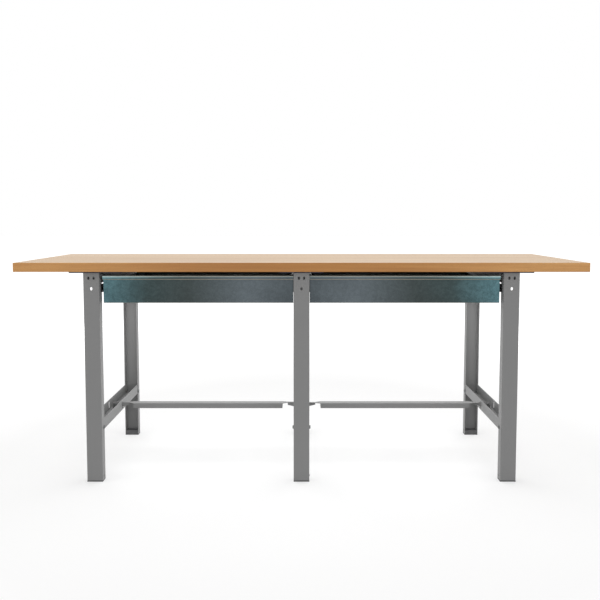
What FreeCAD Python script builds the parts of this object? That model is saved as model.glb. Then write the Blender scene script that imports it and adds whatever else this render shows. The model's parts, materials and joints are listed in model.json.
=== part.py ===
import FreeCAD, Part
import math
import os
import re

import Sketcher

# Long steel workshop bench: three bolted frames, a laminated board and two pull-out drawers.
# X runs left to right, Y front to back, Z up; the origin is on the floor under the board's
# middle, and the drawers open towards -Y.  All sizes are in millimetres.

os.makedirs("parts", exist_ok=True)
doc = FreeCAD.newDocument("workshop_bench")
sheet = doc.addObject("Spreadsheet::Sheet", "Sizes")

DRIVING_SIZES = (
    ("bench_length", 2500, "board, left to right"),
    ("bench_depth", 750, "board, front to back"),
    ("bench_height", 980, "floor to working surface"),
    ("board_thickness", 40, "core with its sheet"),
    ("surface_sheet", 1, "hard sheet on the board"),
    ("band_thickness", 3, "edge band"),
    ("band_rounding", 2.5, "arris of the edge band"),
    ("frame_centre", 920, "end frame's middle from the bench's middle"),
    ("frame_depth", 700, "front face to back face of a frame"),
    ("leg_width", 70, "leg channel across its web"),
    ("leg_flange", 40, "leg channel's depth"),
    ("steel", 2, "sheet of legs, rails and stretchers"),
    ("bend_outside", 3, "outer radius of a fold"),
    ("bend_inside", 1, "inner radius of a fold"),
    ("rail_corner", 1.4, "rail's corners, clear of the leg's inner folds"),
    ("foot_base", 6, "plastic under the leg"),
    ("foot_bevel", 1.5, "round the foot's sole"),
    ("foot_plug", 18, "plastic inside the leg"),
    ("foot_wall", 4, "wall of the hollow plug"),
    ("rail_height", 50, "side rail's walls"),
    ("rail_bolt_line", 14, "bolts from the rail's web"),
    ("end_window_width", 40, "opening in the upper rail's ends, behind the leg's pair of slots"),
    ("end_window_height", 28, "its height"),
    ("low_rail_bottom", 226, "underside of the lower rail"),
    ("bolt_setback", 29, "frame bolts behind the leg's face"),
    ("bolt_radius", 4, "M8 shank"),
    ("bolt_clearance", 0.2, "hole radius over shank radius"),
    ("twin_slot_height", 911, "pair of slots in the leg's web"),
    ("twin_slot_spacing", 23, "between the pair"),
    ("single_slot_height", 864.5, "third slot, below the pair"),
    ("slot_radius", 4.9, "half a slot's width"),
    ("slot_straight", 4.6, "straight part of a slot"),
    ("bearer_sheet", 2.5, "plate between frame and board"),
    ("bearer_lip", 6, "its turned-down edge, from the top"),
    ("bearer_outboard", 96, "end bearer, away from the middle"),
    ("bearer_inboard", 135, "end bearer, towards the middle"),
    ("bearer_bolt_pitch", 400, "between its two bolts"),
    ("stretcher_top", 265, "stretcher's upper face"),
    ("stretcher_width", 38, "front to back"),
    ("stretcher_height", 25, "its flanges"),
    ("flange_setback", 59, "flange's end from the rail"),
    ("ear_start", 35, "ear's start from the rail"),
    ("tongue_gap", 5, "tongue's end from the rail"),
    ("tongue_back", 10, "tongue behind the stretcher's middle"),
    ("ear_slim", 13, "ear where it starts"),
    ("ear_full", 26, "ear at its bolt"),
    ("ear_end", 13, "ear beyond its bolt"),
    ("window_width", 12, "opening in the rail for the ears"),
    ("window_margin", 3, "opening above and below the ear"),
    ("lug_half", 13, "half the upright lug's width"),
    ("slide_gap", 12.7, "leg to drawer side"),
    ("slide_height", 35, "fixed member"),
    ("slide_centre", 865, "slide above the floor"),
    ("slide_sheet", 1.2, "sheet of the slide members"),
    ("slide_front_gap", 1.5, "slide behind the drawer front"),
    ("fixed_reach", 9, "fixed member's flange"),
    ("fixed_lip", 1.9, "its inturned lip"),
    ("middle_length", 620, "middle member"),
    ("middle_height", 25.6, "middle member"),
    ("middle_offset", 3.2, "its web from the leg"),
    ("middle_reach", 10.6, "its flange's end from the leg"),
    ("middle_lip", 1.4, "its inturned lip"),
    ("moving_length", 600, "drawer member"),
    ("moving_height", 17, "drawer member"),
    ("moving_start", 5.6, "its flange's end from the leg"),
    ("drawer_sheet", 1.2, "sheet of the tray"),
    ("tray_depth", 600, "front to back"),
    ("tray_height", 86, "its walls"),
    ("tray_hem", 10, "sheet folded back inside the walls' top edge"),
    ("front_sheet", 1.5, "sheet of the drawer front"),
    ("front_bottom", 800, "lower edge of the drawer front"),
    ("front_setback", 20, "its face behind the leg's face"),
    ("front_return", 18, "return under the tray"),
    ("front_outer_gap", 13, "drawer front to the end leg"),
    ("front_inner_gap", 1.2, "drawer front to the middle leg"),
    ("lip_bottom", 903.5, "lower edge of the pull lip"),
    ("lip_height", 17.5, "pull lip"),
    ("lip_reach", 15, "pull lip in front of the face"),
    ("lip_fold", 3, "outer radius of the folds above and below the pull lip"),
)
for row, (alias, number, remark) in enumerate(DRIVING_SIZES, start=1):
    sheet.set("A%d" % row, remark)
    sheet.set("B%d" % row, str(number))
    sheet.setAlias("B%d" % row, alias)
doc.recompute()
ALIASES = {alias for alias, number, remark in DRIVING_SIZES}

# Heights and places worked out from the driving sizes, as spreadsheet expressions.
BOARD_UNDER = "(bench_height - board_thickness)"
FRAME_TOP = "(bench_height - board_thickness - bearer_sheet)"
HALF_DEPTH = "(frame_depth / 2)"
HALF_LEG = "(leg_width / 2)"
HALF_RAIL = "(leg_width / 2 - steel)"
HALF_RAIL_LENGTH = "(frame_depth / 2 - steel)"
BOLT_Y = "(frame_depth / 2 - bolt_setback)"
TOP_BOLT_HEIGHT = "(bench_height - board_thickness - bearer_sheet - rail_bolt_line)"
LOW_BOLT_HEIGHT = "(low_rail_bottom + rail_bolt_line)"
EAR_BOLT_HEIGHT = "(stretcher_top - ear_full / 2)"
BAY_WIDTH = "(frame_centre - leg_width)"
BAY_MIDDLE = "(frame_centre / 2)"
TRAY_WIDTH = "(frame_centre - leg_width - 2 * slide_gap)"
FACE_Y = "(front_setback - frame_depth / 2)"
TRAY_FRONT_Y = "(front_setback - frame_depth / 2 + front_sheet)"
TRAY_BOTTOM = "(front_bottom + front_sheet)"
MOVING_Y = "(front_setback - frame_depth / 2 + front_sheet + moving_length / 2)"
FIXED_LENGTH = "(frame_depth - 2 * (front_setback + front_sheet + slide_front_gap))"
MIDDLE_Y = "(middle_length / 2 + front_setback - frame_depth / 2 + front_sheet + slide_front_gap)"
BOLT_HOLE = "(bolt_radius + bolt_clearance)"

HOLE_SIDES = 6
SHANK_SIDES = 6
SLOT_FACETS = 6            # in each round end of a slot
ACROSS_FLATS = 13.0        # M8 head and nut
HEAD_HEIGHT = 5.3
NUT_HEIGHT = 6.5
NUT_BORE = 4.1
SMALL_ACROSS_FLATS = 10.0  # M6 head
SMALL_HEAD_HEIGHT = 4.0
SMALL_RADIUS = 3.0
SMALL_HOLE = 3.2
BALL_PITCH = 50.0
BALLS_IN_RACE = 4
BALL_CLEARANCE = 0.35      # ball to race
CAGE_THICKNESS = 0.5
CAGE_EDGE = 0.3            # cage beyond the balls
CAGE_END = 10.0            # cage from the middle member's end
OUTER_RACE_X = 5.4         # ball centres from the leg
INNER_RACE_X = 7.8
FRAME_SIDES = (("left", -1), ("centre", 0), ("right", 1))
CLEAR = 1.0                # how far a cutting sketch stands off the wall it cuts

PARTS = []


def link(expression):
    """Point every size's name in an expression at the spreadsheet."""
    return re.sub(r"[a-z_]+", lambda word: "Sizes." + word[0] if word[0] in ALIASES else word[0],
                  str(expression))


def value(expression):
    return float(sheet.evalExpression(link(expression)))


def new_body(label):
    body = doc.addObject("PartDesign::Body", label)
    body.Label = label
    PARTS.append(body)
    return body


def place(part, x="0", y="0", z="0", turn=0.0, flip=False):
    """Put a part in the bench: an upside-down part is flipped about Y, then turned about Z."""
    rotation = FreeCAD.Rotation(FreeCAD.Vector(0, 0, 1), turn)
    if flip:
        rotation = rotation.multiply(FreeCAD.Rotation(FreeCAD.Vector(0, 1, 0), 180))
    part.Placement = FreeCAD.Placement(FreeCAD.Vector(0, 0, 0), rotation)
    for axis, expression in (("x", x), ("y", y), ("z", z)):
        part.setExpression("Placement.Base." + axis, link(expression))


def new_sketch(body, name, plane, offset):
    sketch = body.newObject("Sketcher::SketchObject", name)
    support = next(item for item in body.Origin.OriginFeatures if item.Role == plane)
    sketch.AttachmentSupport = [(support, "")]
    sketch.MapMode = "FlatFace"
    sketch.setExpression("AttachmentOffset.Base.z", link(offset))
    return sketch


def hold_point(sketch, geometry, position, x, y):
    """Hold one point of a sketch at two size expressions from its origin."""
    for axis, expression, axis_line in (("X", x, -2), ("Y", y, -1)):
        number = value(expression)
        if abs(number) < 1e-9:
            sketch.addConstraint(Sketcher.Constraint("PointOnObject", geometry, position, axis_line))
            continue
        ends = (-1, 1, geometry, position) if number > 0 else (geometry, position, -1, 1)
        index = sketch.addConstraint(Sketcher.Constraint("Distance" + axis, *ends, abs(number)))
        sign = "" if number > 0 else "-"
        sketch.setExpression("Constraints[%d]" % index, link("%s(%s)" % (sign, expression)))


def outline(sketch, corners):
    """Closed outline of straight edges through corners given as size expressions."""
    points = [FreeCAD.Vector(value(x), value(y), 0) for x, y in corners]
    count = len(points)
    first = sketch.GeometryCount
    for index, point in enumerate(points):
        sketch.addGeometry(Part.LineSegment(point, points[(index + 1) % count]), False)
    for index in range(count):
        following = first + (index + 1) % count
        sketch.addConstraint(Sketcher.Constraint("Coincident", first + index, 2, following, 1))
    for index, (x, y) in enumerate(corners):
        hold_point(sketch, first + index, 1, x, y)


def rectangle(left, bottom, right, top):
    return ((left, bottom), (right, bottom), (right, top), (left, top))


def punched_hole(sketch, x, y, radius):
    """Fastener hole with flat sides that clear a round shank of the given radius."""
    step = 360 / HOLE_SIDES
    reach = "(%s) / cos(%s)" % (radius, step / 2)
    outline(sketch, [("(%s) + %s * cos(%s)" % (x, reach, (side + 0.5) * step),
                      "(%s) + %s * sin(%s)" % (y, reach, (side + 0.5) * step))
                     for side in range(HOLE_SIDES)])


def upright_slot(sketch, x, y):
    """Slot in a leg's web with faceted round ends, its long way along the sketch's Y."""
    corners = []
    for way, start in ((1, 0), (-1, 180)):
        middle = "%s + %d * slot_straight / 2" % (y, way)
        for index in range(SLOT_FACETS + 1):
            angle = start + 180 * index / SLOT_FACETS
            corners.append(("(%s) + slot_radius * cos(%s)" % (x, angle),
                            "(%s) + slot_radius * sin(%s)" % (middle, angle)))
    outline(sketch, corners)


def sketch_offset(plane, low, high, cutting):
    """Where a sketch lies so that its pad or pocket fills the space from low to high."""
    if plane == "XZ_Plane":
        return "-(%s)" % (low if cutting else high)
    return high if cutting else low


def pad(body, name, plane, low, high, draw):
    """Add the drawn outline from low to high along the plane's own axis."""
    sketch = new_sketch(body, name + "_sketch", plane, sketch_offset(plane, low, high, False))
    draw(sketch)
    feature = body.newObject("PartDesign::Pad", name)
    feature.Profile = sketch
    feature.setExpression("Length", link("(%s) - (%s)" % (high, low)))
    sketch.Visibility = False
    doc.recompute()
    return feature


def pocket(body, name, plane, low, high, draw):
    """Cut the drawn outline from low to high, and check that material went."""
    before = body.Shape.Volume
    sketch = new_sketch(body, name + "_sketch", plane, sketch_offset(plane, low, high, True))
    draw(sketch)
    feature = body.newObject("PartDesign::Pocket", name)
    feature.Profile = sketch
    feature.setExpression("Length", link("(%s) - (%s)" % (high, low)))
    sketch.Visibility = False
    doc.recompute()
    if body.Shape.Volume >= before:
        raise RuntimeError("%s: pocket %s cut nothing" % (body.Label, name))
    return feature


def dress_edges(body, kind, name, size_name, size, chosen):
    """Dress the body's straight edges that pass a test with a fillet or a chamfer."""
    base = body.Tip
    names = []
    for index, edge in enumerate(base.Shape.Edges, start=1):
        middle = edge.valueAt((edge.FirstParameter + edge.LastParameter) / 2)
        if edge.Curve.TypeId == "Part::GeomLine" and chosen(edge, middle):
            names.append("Edge%d" % index)
    feature = body.newObject("PartDesign::" + kind, name)
    feature.Base = (base, names)
    feature.setExpression(size_name, link(size))
    doc.recompute()


def round_edges(body, name, radius, chosen):
    dress_edges(body, "Fillet", name, "Radius", radius, chosen)


def bevel_edges(body, name, size, chosen):
    dress_edges(body, "Chamfer", name, "Size", size, chosen)


def box_body(label, low, high):
    """Plain rectangular piece between two corners, in bench coordinates."""
    body = new_body(label)
    pad(body, label + "_block", "XY_Plane", low[2], high[2],
        lambda sketch: outline(sketch, rectangle(low[0], low[1], high[0], high[1])))
    return body


# ---------------------------------------------------------------- worktop

CORE_X = "(bench_length / 2 - band_thickness)"
CORE_Y = "(bench_depth / 2 - band_thickness)"
CORE_TOP = "(bench_height - surface_sheet)"


def bearer_ends(side):
    """Left and right end of a frame's bearer, from the frame's middle."""
    if side == 0:
        return "-bearer_outboard", "bearer_outboard"
    if side < 0:
        return "-bearer_outboard", "bearer_inboard"
    return "-bearer_inboard", "bearer_outboard"


def make_worktop():
    box_body("worktop_core", ("-" + CORE_X, "-" + CORE_Y, BOARD_UNDER),
             (CORE_X, CORE_Y, CORE_TOP))
    box_body("worktop_surface", ("-" + CORE_X, "-" + CORE_Y, CORE_TOP),
             (CORE_X, CORE_Y, "bench_height"))
    half_length, half_depth = "(bench_length / 2)", "(bench_depth / 2)"
    bands = (
        ("edge_band_front", "-" + half_length, "-" + half_depth, half_length, "-" + CORE_Y, "y", -1),
        ("edge_band_back", "-" + half_length, CORE_Y, half_length, half_depth, "y", 1),
        ("edge_band_left", "-" + half_length, "-" + CORE_Y, "-" + CORE_X, CORE_Y, "x", -1),
        ("edge_band_right", CORE_X, "-" + CORE_Y, half_length, CORE_Y, "x", 1),
    )
    for label, left, front, right, back, axis, way in bands:
        band = box_body(label, (left, front, BOARD_UNDER), (right, back, "bench_height"))
        limit = value(half_length if axis == "x" else half_depth)

        def on_outside(edge, middle, axis=axis, way=way, limit=limit):
            level = abs(edge.tangentAt(edge.FirstParameter).z) < 0.5
            across = abs(edge.tangentAt(edge.FirstParameter).dot(
                FreeCAD.Vector(axis == "x", axis == "y", 0))) < 0.5
            return level and across and abs(getattr(middle, axis) - way * limit) < 1e-6
        round_edges(band, "arris", "band_rounding", on_outside)


# ---------------------------------------------------------------- frames

def make_leg(label, x, back):
    """C-channel leg, open towards the frame's inside; local Z starts at the channel's end."""
    leg = new_body(label)
    inner = HALF_RAIL
    pad(leg, "channel", "XY_Plane", "0", FRAME_TOP + " - foot_base", lambda sketch: outline(sketch, (
        ("-" + HALF_LEG, "0"), (HALF_LEG, "0"), (HALF_LEG, "leg_flange"), (inner, "leg_flange"),
        (inner, "steel"), ("-" + inner, "steel"), ("-" + inner, "leg_flange"),
        ("-" + HALF_LEG, "leg_flange"))))

    def fold(y, half):
        return lambda edge, middle: (abs(middle.y - y) < 1e-6
                                     and abs(abs(middle.x) - half) < 1e-6
                                     and abs(edge.tangentAt(edge.FirstParameter).z) > 0.5)
    round_edges(leg, "outer_folds", "bend_outside", fold(0.0, value(HALF_LEG)))
    round_edges(leg, "inner_folds", "bend_inside", fold(value("steel"), value(inner)))

    def web_slots(sketch):
        for side in (-1, 1):
            upright_slot(sketch, "%d * twin_slot_spacing / 2" % side, "(twin_slot_height - foot_base)")
        upright_slot(sketch, "0", "(single_slot_height - foot_base)")
    pocket(leg, "web_slots", "XZ_Plane", "-%s" % CLEAR, "steel + %s" % CLEAR, web_slots)

    def flange_holes(sketch):
        for height in (TOP_BOLT_HEIGHT, LOW_BOLT_HEIGHT):
            punched_hole(sketch, "bolt_setback", height + " - foot_base", BOLT_HOLE)
    pocket(leg, "flange_holes", "YZ_Plane", "-leg_width", "leg_width", flange_holes)
    place(leg, x, HALF_DEPTH if back else "-" + HALF_DEPTH, "foot_base", 180 if back else 0)


def make_foot(label, x, back):
    """Moulded shoe: a base under the channel and a hollow plug inside it."""
    foot = new_body(label)
    pad(foot, "base", "XY_Plane", "0", "foot_base", lambda sketch: outline(
        sketch, rectangle("-" + HALF_LEG, "0", HALF_LEG, "leg_flange")))

    def sole_edges(edge, middle):
        return abs(middle.z) < 1e-6
    plug_half = "(%s - bend_inside)" % HALF_RAIL
    pad(foot, "plug", "XY_Plane", "foot_base", "foot_base + foot_plug", lambda sketch: outline(sketch, (
        ("-" + plug_half, "steel"), (plug_half, "steel"), (HALF_RAIL, "steel + bend_inside"),
        (HALF_RAIL, "leg_flange"), ("-" + HALF_RAIL, "leg_flange"),
        ("-" + HALF_RAIL, "steel + bend_inside"))))
    pocket(foot, "hollow", "XY_Plane", "foot_base", "foot_base + foot_plug", lambda sketch: outline(
        sketch, rectangle("-%s + foot_wall" % HALF_RAIL, "steel + foot_wall",
                          "%s - foot_wall" % HALF_RAIL, "leg_flange - foot_wall")))
    bevel_edges(foot, "sole_bevel", "foot_bevel", sole_edges)
    place(foot, x, HALF_DEPTH if back else "-" + HALF_DEPTH, "0", 180 if back else 0)


def make_rail(label, x, lower):
    """Folded pan that ties two legs; the lower one opens upwards and carries the stretchers."""
    rail = new_body(label)
    pad(rail, "pan", "XY_Plane", "0", "rail_height", lambda sketch: outline(sketch, rectangle(
        "-" + HALF_RAIL, "-" + HALF_RAIL_LENGTH, HALF_RAIL, HALF_RAIL_LENGTH)))

    bevel_edges(rail, "corners", "rail_corner",
                lambda edge, middle: abs(edge.tangentAt(edge.FirstParameter).z) > 0.5)

    def long_fold(edge, middle):
        return abs(middle.z) < 1e-6 and abs(abs(middle.x) - value(HALF_RAIL)) < 1e-6
    round_edges(rail, "outer_folds", "rail_corner", long_fold)
    pocket(rail, "inside", "XY_Plane", "steel", "rail_height + %s" % CLEAR, lambda sketch: outline(
        sketch, rectangle("-(%s - steel)" % HALF_RAIL, "-(%s - steel)" % HALF_RAIL_LENGTH,
                          "(%s - steel)" % HALF_RAIL, "(%s - steel)" % HALF_RAIL_LENGTH)))

    def bolt_holes(sketch):
        for way in (-1, 1):
            punched_hole(sketch, "%d * %s" % (way, BOLT_Y), "rail_bolt_line", BOLT_HOLE)
    pocket(rail, "bolt_holes", "YZ_Plane", "-leg_width", "leg_width", bolt_holes)

    def web_holes(sketch):
        for way in (-1, 1):
            punched_hole(sketch, "0", "%d * bearer_bolt_pitch / 2" % way, SMALL_HOLE)
    pocket(rail, "web_holes", "XY_Plane", "-%s" % CLEAR, "steel + %s" % CLEAR, web_holes)
    if lower:
        bolt_height = "(%s - low_rail_bottom)" % EAR_BOLT_HEIGHT
        half_window = "(ear_full / 2 + window_margin)"
        pocket(rail, "ear_windows", "YZ_Plane", "-leg_width", "leg_width", lambda sketch: outline(
            sketch, rectangle("-window_width / 2", "%s - %s" % (bolt_height, half_window),
                              "window_width / 2", "%s + %s" % (bolt_height, half_window))))
        pad(rail, "lug", "XZ_Plane", "-steel / 2", "steel / 2", lambda sketch: outline(
            sketch, rectangle("-lug_half", "steel / 2", "lug_half", "%s + lug_half" % bolt_height)))
        pocket(rail, "lug_hole", "XZ_Plane", "-steel", "steel", lambda sketch: punched_hole(
            sketch, "0", bolt_height, BOLT_HOLE))
        place(rail, x, "0", "low_rail_bottom")
    else:
        window_middle = "(%s - twin_slot_height)" % FRAME_TOP
        pocket(rail, "end_windows", "XZ_Plane", "-frame_depth", "frame_depth",
               lambda sketch: outline(sketch, rectangle(
                   "-end_window_width / 2", "%s - end_window_height / 2" % window_middle,
                   "end_window_width / 2", "%s + end_window_height / 2" % window_middle)))
        place(rail, x, "0", FRAME_TOP, flip=True)


def make_bearer(label, x, side):
    """Shallow plate with turned-down edges that sits over a frame and carries the board."""
    bearer = new_body(label)
    left, right = bearer_ends(side)
    outside = "(%s + bearer_sheet)" % HALF_DEPTH
    pad(bearer, "plate", "XY_Plane", BOARD_UNDER + " - bearer_lip", BOARD_UNDER,
        lambda sketch: outline(sketch, rectangle(left, "-" + outside, right, outside)))
    pocket(bearer, "underside", "XY_Plane", BOARD_UNDER + " - bearer_lip - %s" % CLEAR,
           BOARD_UNDER + " - bearer_sheet", lambda sketch: outline(sketch, rectangle(
               "%s + bearer_sheet" % left, "-" + HALF_DEPTH, "%s - bearer_sheet" % right, HALF_DEPTH)))

    def bolt_holes(sketch):
        for way in (-1, 1):
            punched_hole(sketch, "0", "%d * bearer_bolt_pitch / 2" % way, SMALL_HOLE)
    pocket(bearer, "bolt_holes", "XY_Plane", BOARD_UNDER + " - bearer_lip",
           BOARD_UNDER + " + %s" % CLEAR, bolt_holes)
    place(bearer, x)


def make_stretcher(label, x, turn):
    """Inverted channel whose ends narrow to a tongue and an upright, tapering bolted ear."""
    stretcher = new_body(label)
    bolt = "(frame_centre / 2)"
    wall = "(frame_centre / 2 - %s)" % HALF_RAIL
    flange_end = "(%s - flange_setback)" % wall
    ear_begin = "(%s - ear_start)" % wall
    tongue_end = "(%s - tongue_gap)" % wall
    half = "(stretcher_width / 2)"
    ear_front = "(1.5 * steel)"
    pad(stretcher, "web", "XY_Plane", "-steel", "0", lambda sketch: outline(sketch, (
        ("-" + tongue_end, "-" + ear_front), ("-" + ear_begin, "-" + ear_front),
        ("-" + flange_end, "-" + half), (flange_end, "-" + half),
        (ear_begin, "-" + ear_front), (tongue_end, "-" + ear_front),
        (tongue_end, "tongue_back"), (ear_begin, "tongue_back"),
        (flange_end, half), ("-" + flange_end, half),
        ("-" + ear_begin, "tongue_back"), ("-" + tongue_end, "tongue_back"))))
    for name, low, high in (("front_flange", "-" + half, "-%s + steel" % half),
                            ("back_flange", "%s - steel" % half, half)):
        pad(stretcher, name, "XZ_Plane", low, high, lambda sketch: outline(sketch, (
            ("-" + flange_end, "-steel / 2"), ("-%s + steel" % flange_end, "-stretcher_height"),
            ("%s - steel" % flange_end, "-stretcher_height"), (flange_end, "-steel / 2"))))

    def long_fold(edge, middle):
        return abs(middle.z) < 1e-6 and abs(abs(middle.y) - value(half)) < 1e-6
    round_edges(stretcher, "outer_folds", "bend_inside", long_fold)

    for name, way in (("left_ear", -1), ("right_ear", 1)):
        pad(stretcher, name, "XZ_Plane", "-" + ear_front, "-%s + steel" % ear_front,
            lambda sketch: outline(sketch, (
                ("%d * %s" % (way, ear_begin), "0"), ("%d * %s" % (way, ear_begin), "-ear_slim"),
                ("%d * (%s - ear_end)" % (way, bolt), "-ear_full"),
                ("%d * (%s + ear_end)" % (way, bolt), "-ear_full"),
                ("%d * (%s + ear_end)" % (way, bolt), "0"))))

    def bolt_holes(sketch):
        for way in (-1, 1):
            punched_hole(sketch, "%d * %s" % (way, bolt), "-ear_full / 2", BOLT_HOLE)
    pocket(stretcher, "bolt_holes", "XZ_Plane", "-" + half, half, bolt_holes)
    place(stretcher, x, "0", "stretcher_top", turn)


# ---------------------------------------------------------------- telescopic slides

HALF_FIXED = "(slide_height / 2)"
HALF_MIDDLE = "(middle_height / 2)"
HALF_MOVING = "(moving_height / 2)"


def make_channel(label, web, reach, half, lip, length):
    """Slide member: a C section with inturned lips, its web across local X at `web`."""
    member = new_body(label)
    into = "slide_sheet" if value(reach) > value(web) else "-slide_sheet"
    inner_half = "(%s - slide_sheet)" % half
    lower = [(web, "-" + half), (reach, "-" + half)]
    if value(lip) > 0:
        lower += [(reach, "-(%s - %s)" % (inner_half, lip)),
                  ("%s - %s" % (reach, into), "-(%s - %s)" % (inner_half, lip)),
                  ("%s - %s" % (reach, into), "-" + inner_half)]
    else:
        lower += [(reach, "-" + inner_half)]
    lower += [("%s + %s" % (web, into), "-" + inner_half)]
    upper = [(x, "-(%s)" % z) for x, z in reversed(lower)]
    pad(member, "section", "XZ_Plane", "-%s / 2" % length, "%s / 2" % length,
        lambda sketch: outline(sketch, lower + upper))
    return member


def faceted_ball(radius):
    """Twenty-sided ball: two poles and two rings of five points between them."""
    ring_high, ring_radius = radius / math.sqrt(5), 2 * radius / math.sqrt(5)
    poles = [FreeCAD.Vector(0, 0, radius), FreeCAD.Vector(0, 0, -radius)]
    rings = []
    for high, lag in ((ring_high, 0), (-ring_high, 36)):
        angles = [math.radians(72 * point + lag) for point in range(5)]
        rings.append([FreeCAD.Vector(ring_radius * math.cos(angle), ring_radius * math.sin(angle),
                                     high) for angle in angles])
    upper, lower = rings
    corners = []
    for point in range(5):
        following = (point + 1) % 5
        corners += [(poles[0], upper[point], upper[following]),
                    (poles[1], lower[following], lower[point]),
                    (upper[point], lower[point], upper[following]),
                    (lower[point], lower[following], upper[following])]
    faces = [Part.Face(Part.makePolygon(list(three) + [three[0]])) for three in corners]
    return Part.makeSolid(Part.makeShell(faces))


def ball_strip(radius, across, high, start):
    """One cage with its balls: a thin strip that carries a row of balls along Y."""
    strip = Part.makeBox(2 * (radius + CAGE_EDGE), BALL_PITCH * BALLS_IN_RACE, CAGE_THICKNESS)
    strip.translate(FreeCAD.Vector(across - radius - CAGE_EDGE, start, high - CAGE_THICKNESS / 2))
    for index in range(BALLS_IN_RACE):
        ball = faceted_ball(radius)
        ball.translate(FreeCAD.Vector(across, start + (index + 0.5) * BALL_PITCH, high))
        strip = strip.fuse(ball)
    return strip


def ball_cages(stations):
    """Ball strips in the four races of each slide of a drawer."""
    sheet_size = value("slide_sheet")
    half_fixed, half_middle, half_moving = value(HALF_FIXED), value(HALF_MIDDLE), value(HALF_MOVING)
    front_end = value(MIDDLE_Y) - value("middle_length") / 2
    back_end = value(MIDDLE_Y) + value("middle_length") / 2
    strip_length = BALL_PITCH * BALLS_IN_RACE
    races = (
        (half_fixed - sheet_size, half_middle, OUTER_RACE_X, back_end - strip_length - CAGE_END),
        (half_middle - sheet_size, half_moving, INNER_RACE_X, front_end + CAGE_END),
    )
    strips = []
    for side, face, turn in stations:
        way = -1 if turn else 1
        for high, low, across, start in races:
            radius = (high - low) / 2 - BALL_CLEARANCE
            for up in (-1, 1):
                strips.append(ball_strip(radius, value(face) + way * across,
                                         value("slide_centre") + up * (high + low) / 2, start))
    return strips


def make_slides(drawer, stations):
    """Both slides of one drawer; a station is its side, the leg's face and the slide's turn."""
    for side, face, turn in stations:
        fixed = make_channel("%s_slide_fixed_%s" % (drawer, side), "0", "fixed_reach", HALF_FIXED,
                             "fixed_lip", FIXED_LENGTH)
        place(fixed, face, "0", "slide_centre", turn)
        middle = make_channel("%s_slide_middle_%s" % (drawer, side), "middle_offset",
                              "middle_reach", HALF_MIDDLE, "middle_lip", "middle_length")
        place(middle, face, MIDDLE_Y, "slide_centre", turn)
        moving = make_channel("%s_slide_inner_%s" % (drawer, side), "slide_gap", "moving_start",
                              HALF_MOVING, "0", "moving_length")
        place(moving, face, MOVING_Y, "slide_centre", turn)


# ---------------------------------------------------------------- drawers

def make_tray(label, x):
    """Folded tray: bottom and hemmed side walls in one sheet, closed by a hemmed back wall."""
    tray = new_body(label)
    half = "(%s / 2)" % TRAY_WIDTH
    inside = "(%s - drawer_sheet)" % half
    hemmed = "(%s - 2 * drawer_sheet)" % half
    hem_bottom = "(tray_height - tray_hem)"
    pad(tray, "folded_sheet", "XZ_Plane", "0", "tray_depth", lambda sketch: outline(sketch, (
        ("-" + half, "0"), (half, "0"), (half, "tray_height"), (hemmed, "tray_height"),
        (hemmed, hem_bottom), (inside, hem_bottom), (inside, "drawer_sheet"),
        ("-" + inside, "drawer_sheet"), ("-" + inside, hem_bottom), ("-" + hemmed, hem_bottom),
        ("-" + hemmed, "tray_height"), ("-" + half, "tray_height"))))
    for name, front, bottom in (("back_wall", "tray_depth - drawer_sheet", "drawer_sheet / 2"),
                                ("back_hem", "tray_depth - 2 * drawer_sheet", hem_bottom)):
        pad(tray, name, "XZ_Plane", front, "tray_depth", lambda sketch: outline(
            sketch, rectangle("-" + inside, bottom, inside, "tray_height")))
    place(tray, x, TRAY_FRONT_Y, TRAY_BOTTOM)


def make_front(label, left, right):
    """Folded drawer front: a return under the tray, the face, and a forward pull lip."""
    front = new_body(label)
    back = "(%s + front_sheet)" % FACE_Y
    lip_front = "(%s - lip_reach)" % FACE_Y
    lip_back = "(%s - front_sheet / 2)" % FACE_Y
    lip_top = "(lip_bottom + lip_height)"
    pad(front, "folded_sheet", "YZ_Plane", left, right, lambda sketch: outline(sketch, (
        (FACE_Y, "front_bottom"), ("%s + front_return" % FACE_Y, "front_bottom"),
        ("%s + front_return" % FACE_Y, "front_bottom + front_sheet"),
        (back, "front_bottom + front_sheet"), (back, "lip_bottom + front_sheet"),
        ("%s + front_sheet" % lip_front, "lip_bottom + front_sheet"),
        ("%s + front_sheet" % lip_front, "%s - front_sheet" % lip_top),
        (lip_back, "%s - front_sheet" % lip_top), (lip_back, lip_top), (lip_front, lip_top),
        (lip_front, "lip_bottom"), (FACE_Y, "lip_bottom"))))

    def folds_at(*corners):
        places = [(value(y), value(z)) for y, z in corners]
        return lambda edge, middle: (abs(edge.tangentAt(edge.FirstParameter).x) > 0.5 and any(
            math.hypot(middle.y - y, middle.z - z) < 1e-6 for y, z in places))
    round_edges(front, "lower_fold", "bend_inside", folds_at((FACE_Y, "front_bottom")))
    round_edges(front, "lip_folds", "lip_fold", folds_at((lip_front, lip_top),
                                                        (lip_front, "lip_bottom")))
    inner_front = "(%s + front_sheet)" % lip_front
    round_edges(front, "lip_inner_folds", "lip_fold - front_sheet", folds_at(
        (inner_front, "%s - front_sheet" % lip_top), (inner_front, "lip_bottom + front_sheet")))
    place(front)


# ---------------------------------------------------------------- fasteners

def prism(sides, radius, height, base=0.0):
    """Upright prism whose corners lie on a circle."""
    angles = [math.radians(360 / sides * side) for side in range(sides)]
    corners = [FreeCAD.Vector(radius * math.cos(angle), radius * math.sin(angle), base)
               for angle in angles]
    face = Part.Face(Part.makePolygon(corners + corners[:1]))
    return face.extrude(FreeCAD.Vector(0, 0, height))


def hex_bolt(flats, head_height, radius, length):
    """Bolt whose head stands on the XY plane and whose shank goes down."""
    head = prism(SHANK_SIDES, flats / math.sqrt(3), head_height)
    return head.fuse(prism(SHANK_SIDES, radius, length, -length)).removeSplitter()


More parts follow.
